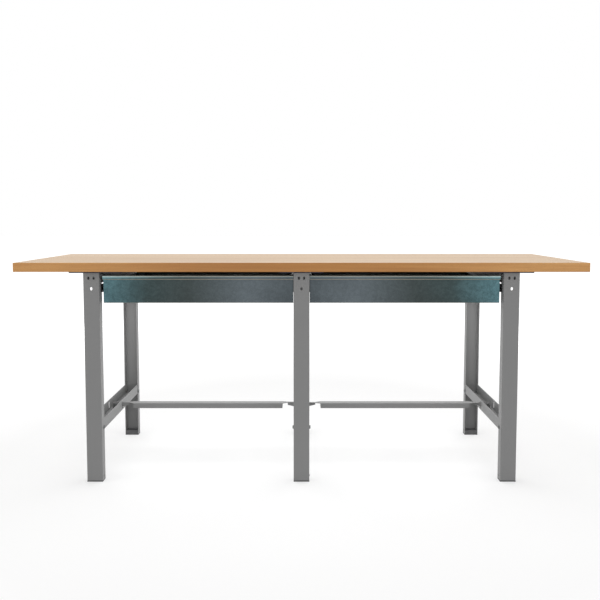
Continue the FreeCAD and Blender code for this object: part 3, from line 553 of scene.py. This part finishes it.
def joined_blocks(blocks):
    """Mesh of one closed skin round blocks that touch or overlap, each given by two corners."""
    cuts = [sorted({round(corner[axis], 6) for block in blocks for corner in block})
            for axis in range(3)]
    counts = [len(line) - 1 for line in cuts]

    def filled(cell):
        if not all(0 <= index < count for index, count in zip(cell, counts)):
            return False
        middle = [(line[index] + line[index + 1]) / 2 for index, line in zip(cell, cuts)]
        return any(all(low[axis] < middle[axis] < high[axis] for axis in range(3))
                   for low, high in blocks)

    mesh = bmesh.new()
    corners = {}

    def corner(place):
        if place not in corners:
            corners[place] = mesh.verts.new([cuts[axis][place[axis]] for axis in range(3)])
        return corners[place]

    for cell in filter(filled, itertools.product(*map(range, counts))):
        for axis, side in itertools.product(range(3), (0, 1)):
            beside = list(cell)
            beside[axis] += 2 * side - 1
            if filled(beside):
                continue
            first, second = [other for other in range(3) if other != axis]
            quad = []
            for along, across in ((0, 0), (1, 0), (1, 1), (0, 1)):
                place = list(cell)
                place[axis] += side
                place[first] += along
                place[second] += across
                quad.append(corner(tuple(place)))
            mesh.faces.new(quad)
    bmesh.ops.recalc_face_normals(mesh, faces=mesh.faces)
    bmesh.ops.dissolve_limit(mesh, angle_limit=math.radians(1), verts=mesh.verts,
                             edges=mesh.edges)
    return mesh


# ------------------------------------------------------------------ fasteners

AROUND = 36                 # points round a fastener


def thread_rings(radius, pitch, length):
    """Rings of a right-hand V thread, from a rod's tip up to the XY plane."""
    steps = 4                   # rings in one turn
    deep = 0.3 * pitch
    tip = radius - 2.5 * deep
    rows = int(length / pitch * steps)
    rings = [circle(tip, -length - pitch / 2, AROUND)]
    for row in range(rows + 1):
        ring = circle(radius, length * (row / rows - 1), AROUND)
        for index, point in enumerate(ring):
            phase = (row / steps - index / AROUND) % 1.0
            shrink = 1 - deep * (1 - 2 * abs(phase - 0.5)) / radius
            point.x *= shrink
            point.y *= shrink
        rings.append(ring)
    return rings


def flange_bolt(flats, head, radius, pitch, length):
    """Hex flange bolt: its face on the XY plane, the head up and the threaded shank down."""
    flange_radius, flange_edge = flats * 0.68, head * 0.18
    round_below, round_above = 0.2 * MM, 0.3 * MM
    root, shoulder = head * 0.32, head * 0.40
    crown = flats * 0.46
    dish_edge, dish_floor, dish_depth = flats * 0.36, flats * 0.34, 0.35 * MM
    rings = thread_rings(radius, pitch, length)
    rings += [circle(radius, 0, AROUND), circle(flange_radius - round_below, 0, AROUND),
              circle(flange_radius, flange_edge * 0.5, AROUND),
              circle(flange_radius - round_above, flange_edge, AROUND),
              hexagon(flats * 1.02, root, AROUND),
              hexagon(flats, shoulder, AROUND),
              hexagon(flats, head, AROUND, crown),
              circle(crown, head, AROUND), circle(dish_edge, head, AROUND),
              circle(dish_floor, head - dish_depth, AROUND)]
    return rings_to_mesh(rings)


def nut(flats, height, bore):
    """Hex nut that stands on the XY plane, chamfered at both faces and countersunk."""
    crown = flats * 0.47
    sink = 0.5 * MM
    rings = [circle(bore, sink, AROUND), circle(bore + sink, 0, AROUND),
             circle(crown, 0, AROUND), hexagon(flats, 0, AROUND, crown, -1),
             hexagon(flats, height, AROUND, crown), circle(crown, height, AROUND),
             circle(bore + sink, height, AROUND), circle(bore, height - sink, AROUND),
             circle(bore, sink, AROUND)]
    return rings_to_mesh(rings, closed=False)


def cross_screw(radius, height):
    """Pan head on the XY plane with a pressed cross recess."""
    rows = 10
    rim = 0.35                  # upright part of the head, below its dome
    arm, reach, deep = radius * 0.13, radius * 0.58, height * 0.55
    steepness = 2.2             # of the recess's floor, towards its arms' ends
    rings = [circle(radius, 0, AROUND), circle(radius, height * rim, AROUND)]
    for row in range(1, rows):
        out = radius * (1 - row / rows)
        rise = height * (rim + (1 - rim) * math.sqrt(1 - (out / radius) ** 2))
        ring = circle(out, rise, AROUND)
        for point in ring:
            along, across = max(abs(point.x), abs(point.y)), min(abs(point.x), abs(point.y))
            if across < arm and along < reach:
                point.z -= deep * min(1.0, steepness * (1 - along / reach))
        rings.append(ring)
    return rings_to_mesh(rings)


def placed_copies(name, pattern, matrices, slot, body, stands_for=()):
    """One piece made of copies of a pattern, each placed by a matrix."""
    mesh = bmesh.new()
    for matrix in matrices:
        stamp(mesh, pattern, matrix)
    pattern.free()
    return finish_piece(name, mesh, slot, body, stands_for)


def frame_bolt_places():
    """Place and outward direction of every bolt between a leg and a rail."""
    for name in FRAMES:
        leg_low, leg_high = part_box("front_leg_" + name)
        back_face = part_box("back_leg_" + name)[1].y
        rail_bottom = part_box("lower_rail_" + name)[0].z
        rail_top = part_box("upper_rail_" + name)[1].z
        for z in (rail_bottom + FRAME_BOLT_LINE, rail_top - FRAME_BOLT_LINE):
            for y in (leg_low.y + FRAME_BOLT_SETBACK, back_face - FRAME_BOLT_SETBACK):
                yield Vector((leg_low.x, y, z)), -X
                yield Vector((leg_high.x, y, z)), X


def make_frame_fasteners():
    places = list(frame_bolt_places())
    grip = 2 * SHEET
    bolt = flange_bolt(FRAME_BOLT_FLATS, FRAME_BOLT_HEAD, FRAME_BOLT_RADIUS, FRAME_BOLT_PITCH,
                       grip + NUT_HEIGHT + THREAD_BEYOND_NUT)
    placed_copies("frame_flange_bolts", bolt, [aim(place, out) for place, out in places],
                  "zinc", "bench", ["frame_bolts"])
    placed_copies("frame_hex_nuts", nut(FRAME_BOLT_FLATS, NUT_HEIGHT, NUT_BORE),
                  [aim(place - out * grip, -out) for place, out in places],
                  "zinc", "bench", ["frame_nuts"])


def make_stretcher_fasteners():
    """Three bolts that each hold the ears to the lug inside a lower rail."""
    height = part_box("stretcher_left")[1].z - EAR_BOLT_DROP
    bolts, nuts = [], []
    for name, head_y, nut_y in (("left", -1.5 * SHEET, 0.5 * SHEET),
                                ("centre", -1.5 * SHEET, 1.5 * SHEET),
                                ("right", -0.5 * SHEET, 1.5 * SHEET)):
        rail_low, rail_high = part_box("lower_rail_" + name)
        x = (rail_low.x + rail_high.x) / 2
        bolts.append(aim(Vector((x, head_y, height)), -Y))
        nuts.append(aim(Vector((x, nut_y, height)), Y))
    bolt = flange_bolt(FRAME_BOLT_FLATS, FRAME_BOLT_HEAD, FRAME_BOLT_RADIUS, FRAME_BOLT_PITCH,
                       3 * SHEET + NUT_HEIGHT + THREAD_BEYOND_NUT)
    placed_copies("stretcher_flange_bolts", bolt, bolts, "zinc", "bench", ["stretcher_bolts"])
    placed_copies("stretcher_hex_nuts", nut(FRAME_BOLT_FLATS, NUT_HEIGHT, NUT_BORE),
                  nuts, "zinc", "bench", ["stretcher_nuts"])


def make_plate_bolts():
    """Bolts that hold the dark plates under the board to the upper rails, heads down."""
    web_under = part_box("upper_rail_left")[1].z - SHEET
    places = []
    for name in FRAMES:
        rail_low, rail_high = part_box("upper_rail_" + name)
        x = (rail_low.x + rail_high.x) / 2
        places += [aim(Vector((x, y, web_under)), -Z) for y in (-PLATE_BOLT_Y, PLATE_BOLT_Y)]
    bolt = flange_bolt(PLATE_BOLT_FLATS, PLATE_BOLT_HEAD, PLATE_BOLT_RADIUS, PLATE_BOLT_PITCH,
                       SHEET + PLATE_SHEET - PLATE_BOLT_PITCH)
    placed_copies("plate_bolts", bolt, places, "zinc", "bench", ["bearer_bolts"])


def side_screw_places(drawer):
    """Side, leg's face, way into the bay and middle height of both slides of a drawer."""
    for side in SIDES:
        low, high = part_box("%s_slide_fixed_%s" % (drawer, side))
        towards_right = (side == "outer") == (drawer == "left")
        face = low.x if towards_right else high.x
        yield side, face, 1 if towards_right else -1, (low.z + high.z) / 2


def make_small_screws():
    """Pan-head screws of the board, the shoes, the slides and the trays."""
    board = []
    for name in FRAMES:
        plate_low, plate_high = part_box("bearer_" + name)
        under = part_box("upper_rail_" + name)[1].z
        for x in (plate_low.x + BOARD_SCREW_EDGE, plate_high.x - BOARD_SCREW_EDGE):
            board += [aim(Vector((x, y, under)), -Z) for y in (-BOARD_SCREW_Y, BOARD_SCREW_Y)]
    placed_copies("board_screws", cross_screw(*LARGE_SCREW), board, "zinc", "bench")

    shoes = []
    for name in FRAMES:
        inward = -1 if name == "right" else 1
        for row in ROWS:
            low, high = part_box("%s_leg_%s" % (row, name))
            x = high.x if inward > 0 else low.x
            shoes.append(aim(Vector((x, (low.y + high.y) / 2, SHOE_SCREW_HEIGHT)), inward * X))
    placed_copies("shoe_screws", cross_screw(*LARGE_SCREW), shoes, "zinc", "bench")

    slides = []
    for drawer in DRAWERS:
        trays = []
        fixed_low, fixed_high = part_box("%s_slide_fixed_outer" % drawer)
        inner_low, inner_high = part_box("%s_slide_inner_outer" % drawer)
        for side, face, way, z in side_screw_places(drawer):
            for y in (fixed_low.y + SLIDE_SCREW_END, fixed_high.y - SLIDE_SCREW_END):
                slides.append(aim(Vector((face + way * SLIDE_SHEET, y, z)), way * X))
            web = face + way * (SLIDE_GAP - SLIDE_SHEET)
            middle = (inner_low.y + inner_high.y) / 2
            trays += [aim(Vector((web, middle + shift, z)), -way * X)
                      for shift in (-TRAY_SCREW_PITCH, 0, TRAY_SCREW_PITCH)]
        placed_copies(drawer + "_tray_screws", cross_screw(*SMALL_SCREW), trays, "zinc",
                      drawer + "_drawer")
    placed_copies("slide_screws", cross_screw(*SMALL_SCREW), slides, "zinc", "bench")


# ------------------------------------------------------------------ slides

BALL_PITCH = 20 * MM
CAGE_SHEET = 0.5 * MM
CAGE_END = 10 * MM
CAGE_LENGTH = 0.3                  # in parts of the middle member
CAGE_MARGIN = 0.35 * MM            # strip beyond the balls
CAGE_ROOM = 0.1 * MM               # round a ball, in its window and its race
CAGE_AROUND = 16                   # points round a window
RACE_PLACES = {"outer": 5.4 * MM, "inner": 7.8 * MM}     # ball centres from the leg


def cage_strip(mesh, ball, radius, across, high, start, length):
    """One cage: a thin strip along Y with a round window for each of its balls."""
    half, window = radius + CAGE_MARGIN, radius + CAGE_ROOM
    count = int(length / BALL_PITCH)
    side_steps = CAGE_AROUND // 4
    made = bmesh.new()
    for index in range(count):
        centre = Vector((across, start + (index + 0.5) * BALL_PITCH, high))
        outline, hole = [], []
        for step in range(CAGE_AROUND):
            side, part = divmod(step, side_steps)
            along = 2 * part / side_steps - 1
            x, y = ((along, -1), (1, along), (-along, 1), (-1, -along))[side]
            outline.append(Vector((x * half, y * BALL_PITCH / 2, 0)))
            angle = math.radians(360 * step / CAGE_AROUND - 135)
            hole.append(window * Vector((math.cos(angle), math.sin(angle), 0)))
        rise = Vector((0, 0, CAGE_SHEET / 2))
        levels = ((outline, -rise), (hole, -rise), (hole, rise), (outline, rise))
        rings = [[made.verts.new(centre + point + lift) for point in ring]
                 for ring, lift in levels]
        for step in range(CAGE_AROUND):
            following = (step + 1) % CAGE_AROUND
            side = step // side_steps
            is_joint = (side == 0 and index > 0) or (side == 2 and index < count - 1)
            for ring, beyond in zip(rings, rings[1:] + ([] if is_joint else rings[:1])):
                made.faces.new((ring[step], ring[following], beyond[following], beyond[step]))
        stamp(mesh, ball, Matrix.Translation(centre) @ Matrix.Diagonal((radius,) * 3 + (1,)))
    bmesh.ops.remove_doubles(made, verts=made.verts, dist=0.001 * MM)
    stamp(mesh, made, Matrix.Identity(4))
    made.free()


def make_ball_cages():
    """Steel balls in their strips, in all four races of every slide."""
    for drawer in DRAWERS:
        ball = bmesh.new()
        bmesh.ops.create_icosphere(ball, subdivisions=3, radius=1.0)
        mesh = bmesh.new()
        for side, face, way, middle in side_screw_places(drawer):
            fixed, carried, moving = [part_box("%s_slide_%s_%s" % (drawer, kind, side))
                                      for kind in ("fixed", "middle", "inner")]
            halves = [(high.z - low.z) / 2 for low, high in (fixed, carried, moving)]
            length = CAGE_LENGTH * (carried[1].y - carried[0].y)
            races = ((halves[0] - SLIDE_SHEET, halves[1], RACE_PLACES["outer"],
                      carried[1].y - CAGE_END - length),
                     (halves[1] - SLIDE_SHEET, halves[2], RACE_PLACES["inner"],
                      carried[0].y + CAGE_END))
            for outside, inside, across, start in races:
                radius = (outside - inside) / 2 - CAGE_ROOM
                for up in (-1, 1):
                    cage_strip(mesh, ball, radius, face + way * across,
                               middle + up * (outside + inside) / 2, start, length)
        ball.free()
        finish_piece(drawer + "_steel_balls", mesh, "bright_steel", drawer + "_slide_carriage",
                     [drawer + "_ball_cages"])


def make_slide_stops():
    """Moulded stop at the back of each fixed member, with a notch for the middle member."""
    mesh = bmesh.new()
    for drawer in DRAWERS:
        for side, face, way, z in side_screw_places(drawer):
            low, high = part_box("%s_slide_fixed_%s" % (drawer, side))
            half = (high.z - low.z) / 2 - SLIDE_SHEET - 2 * STOP_ROOM
            jaw = half * STOP_JAW
            blocks = []
            for bottom, top, deep in ((-half, half, STOP_DEPTH), (-half, -jaw, STOP_JAW_DEPTH),
                                      (jaw, half, STOP_JAW_DEPTH)):
                near, far = face + way * (SLIDE_SHEET + STOP_ROOM), face + way * deep
                blocks.append(((min(near, far), high.y - STOP_FRONT, z + bottom),
                               (max(near, far), high.y - STOP_BACK, z + top)))
            stop = joined_blocks(blocks)
            stamp(mesh, stop, Matrix.Identity(4))
            stop.free()
    finish_piece("slide_stops", mesh, "black_plastic", "bench", bevel=0.4 * MM)


# ------------------------------------------------------------------ drawers and shoes

def make_spot_welds():
    """Dimples of the spot welds under the front's return and at the tray's back corners."""
    for drawer in DRAWERS:
        low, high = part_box("%s_drawer_front" % drawer)
        tray_low, tray_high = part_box("%s_drawer_tray" % drawer)
        y = high.y - WELD_FROM_EDGE
        span = (high.x - low.x) - 2 * WELD_END
        places = [aim(Vector((low.x + WELD_END + span * index / (WELD_COUNT - 1), y, low.z)), -Z)
                  for index in range(WELD_COUNT)]
        for x, way in ((tray_low.x, -1), (tray_high.x, 1)):
            for part in BACK_WELD_HEIGHTS:
                height = tray_low.z + part * (tray_high.z - tray_low.z)
                places.append(aim(Vector((x, tray_high.y - WELD_FROM_EDGE, height)), way * X))
        rings = [circle(radius, height, WELD_AROUND) for radius, height in WELD_PROFILE]
        placed_copies(drawer + "_spot_welds", rings_to_mesh(rings), places,
                      "galvanised", drawer + "_drawer")


def make_back_caps():
    """Folded cap over the top edge of each tray's back wall."""
    for drawer in DRAWERS:
        low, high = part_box("%s_drawer_tray" % drawer)
        ends = low.x + TRAY_SHEET, high.x - TRAY_SHEET
        front, back = high.y - 2 * TRAY_SHEET, high.y
        top = high.z + CAP_RISE
        blocks = [((ends[0], front - CAP_SHEET, high.z), (ends[1], back + CAP_SHEET, top))]
        for near, far in ((front - CAP_SHEET, front), (back, back + CAP_SHEET)):
            blocks.append(((ends[0], near, high.z - CAP_DROP), (ends[1], far, top)))
        finish_piece(drawer + "_back_wall_cap", joined_blocks(blocks), "galvanised",
                     drawer + "_drawer", bevel=0.3 * MM)


def shoe_blocks(low, high, leg_bottom, into):
    """Blocks of one shoe in the box of its CAD node; the legs open towards `into` along Y."""
    face = low.y if into > 0 else high.y
    middle, half, deep = (low.x + high.x) / 2, (high.x - low.x) / 2, high.y - low.y
    plug = half - SHEET
    spans = [(-half, half, 0, deep, SHOE_RIB, leg_bottom)]
    for x0, x1, y0, y1 in ((-half, half, 0, SHOE_WALL), (-half, half, deep - SHOE_WALL, deep),
                           (-half, SHOE_WALL - half, 0, deep), (half - SHOE_WALL, half, 0, deep),
                           (-SHOE_RIB / 2, SHOE_RIB / 2, 0, deep),
                           (-half, half, (deep - SHOE_RIB) / 2, (deep + SHOE_RIB) / 2)):
        spans.append((x0, x1, y0, y1, 0, leg_bottom))
    spans.append((-plug, plug, SHEET, deep, leg_bottom - SHOE_OVERLAP, high.z))
    blocks = []
    for x0, x1, y0, y1, z0, z1 in spans:
        depths = sorted((face + into * y0, face + into * y1))
        blocks.append(((middle + x0, depths[0], z0), (middle + x1, depths[1], z1)))
    return blocks


def make_shoes():
    """Moulded shoes: a sole under the channel, ribbed below, and a closed plug inside it."""
    for row, into in (("front", 1), ("back", -1)):
        for name in FRAMES:
            node = "%s_foot_%s" % (row, name)
            low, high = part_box(node)
            leg_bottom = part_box("%s_leg_%s" % (row, name))[0].z
            skin = joined_blocks(shoe_blocks(low, high, leg_bottom, into))
            finish_piece("%s_shoe_%s" % (row, name), skin, "black_plastic", "bench", [node],
                         bevel=0.6 * MM)


# ------------------------------------------------------------------ studio

def lamp(name, place, target, width, height, power, in_gloss=True):
    """Soft box that the camera doesn't see; out of gloss, it lights only what is matt."""
    light = bpy.data.lights.new(name, "AREA")
    light.shape = "RECTANGLE"
    light.size, light.size_y, light.energy = width, height, power
    holder = bpy.data.objects.new(name, light)
    bpy.context.scene.collection.objects.link(holder)
    holder.visible_camera = False
    holder.visible_glossy = in_gloss
    holder.location = place
    holder.rotation_euler = (Vector(target) - Vector(place)).to_track_quat("-Z", "Y").to_euler()


def seen_directly(tree):
    """1 for rays from the camera, and for those seen in gloss or through glass."""
    path = add(tree, "LightPath")
    either = maths(tree, "MAXIMUM", path.outputs["Is Camera Ray"], path.outputs["Is Glossy Ray"])
    return maths(tree, "MAXIMUM", either, path.outputs["Is Transmission Ray"])


def make_world(ambient):
    """World that looks white to the camera and in gloss, and lights at a weaker level."""
    world = bpy.data.worlds.new("studio")
    bpy.context.scene.world = world
    world.use_nodes = True
    tree = world.node_tree
    tree.nodes.clear()
    lit = add(tree, "Background", {"Color": (1, 1, 1, 1), "Strength": ambient})
    shown = add(tree, "Background", {"Color": (1, 1, 1, 1), "Strength": 1.0})
    either = add(tree, "MixShader", {"Fac": seen_directly(tree)})
    feed(tree, either.inputs[1], lit.outputs[0])
    feed(tree, either.inputs[2], shown.outputs[0])
    output = add(tree, "OutputWorld")
    feed(tree, output.inputs["Surface"], either.outputs[0])


def make_floor():
    """White floor that keeps the bench's soft shadow."""
    mesh = bmesh.new()
    bmesh.ops.create_grid(mesh, x_segments=1, y_segments=1, size=FLOOR_REACH)
    data = bpy.data.meshes.new("floor")
    mesh.to_mesh(data)
    mesh.free()
    floor = bpy.data.objects.new("floor", data)
    bpy.context.scene.collection.objects.link(floor)
    made = bpy.data.materials.new("studio_floor")
    made.use_nodes = True
    tree = made.node_tree
    tree.nodes.clear()
    paint = add(tree, "BsdfDiffuse", {"Color": (FLOOR_GREY, FLOOR_GREY, FLOOR_GREY, 1)})
    place = add(tree, "TexCoord").outputs["Object"]
    away = add(tree, "VectorMath", operation="LENGTH")
    feed(tree, away.inputs[0], place)
    further = add(tree, "MapRange", {"Value": away.outputs["Value"],
                                     "From Min": GLOW_NEAR[0], "From Max": GLOW_FAR[0],
                                     "To Min": GLOW_NEAR[1], "To Max": GLOW_FAR[1]})
    strength = maths(tree, "MULTIPLY", seen_directly(tree), further.outputs["Result"])
    glow = add(tree, "Emission", {"Color": (1, 1, 1, 1), "Strength": strength})
    both = add(tree, "AddShader")
    feed(tree, both.inputs[0], paint.outputs[0])
    feed(tree, both.inputs[1], glow.outputs[0])
    output = add(tree, "OutputMaterial")
    feed(tree, output.inputs["Surface"], both.outputs[0])
    data.materials.append(made)


def make_camera():
    """Camera fitted to the photograph's board corners and leg edges."""
    data = bpy.data.cameras.new("photo_camera")
    camera = bpy.data.objects.new("photo_camera", data)
    bpy.context.scene.collection.objects.link(camera)
    data.sensor_fit = "HORIZONTAL"
    data.sensor_width = SENSOR
    data.lens = SENSOR * FOCAL_PIXELS / PHOTO_WIDTH
    data.shift_x = (PHOTO_WIDTH / 2 - AXIS_COLUMN) / PHOTO_WIDTH
    data.shift_y = (AXIS_ROW - PHOTO_WIDTH / 2) / PHOTO_WIDTH
    camera.location = CAMERA_PLACE
    camera.rotation_euler = (math.pi / 2 - CAMERA_DIP, 0, 0)
    bpy.context.scene.camera = camera


make_camera()
make_world(ambient=0.54)
lamp("overhead", (0, 0.4, 4.5), (0, 0, 0.9), 5.0, 2.5, 47)
lamp("under_board", (0, 0, 0.78), (0, 0.001, 0), 2.2, 0.5, 8)
lamp("front_low", (0, -5.0, 1.0), (0, 0, 0.5), 7.0, 1.6, 47)
for lamp_side, way in (("left", -1), ("right", 1)):
    lamp("far_" + lamp_side, (way * 9.5, -2.5, 3.0), (0, 0, 0.4), 9.0, 5.0, 310, in_gloss=False)
    lamp("rear_" + lamp_side, (way * 3.5, 3.2, 0.45), (0, 0, 0.3), 2.4, 0.8, 75, in_gloss=False)
make_floor()

dress_nodes()
make_frame_fasteners()
make_stretcher_fasteners()
make_plate_bolts()
make_small_screws()
make_ball_cages()
make_slide_stops()
make_spot_welds()
make_back_caps()
make_shoes()

bpy.context.scene.view_settings.view_transform = "Standard"
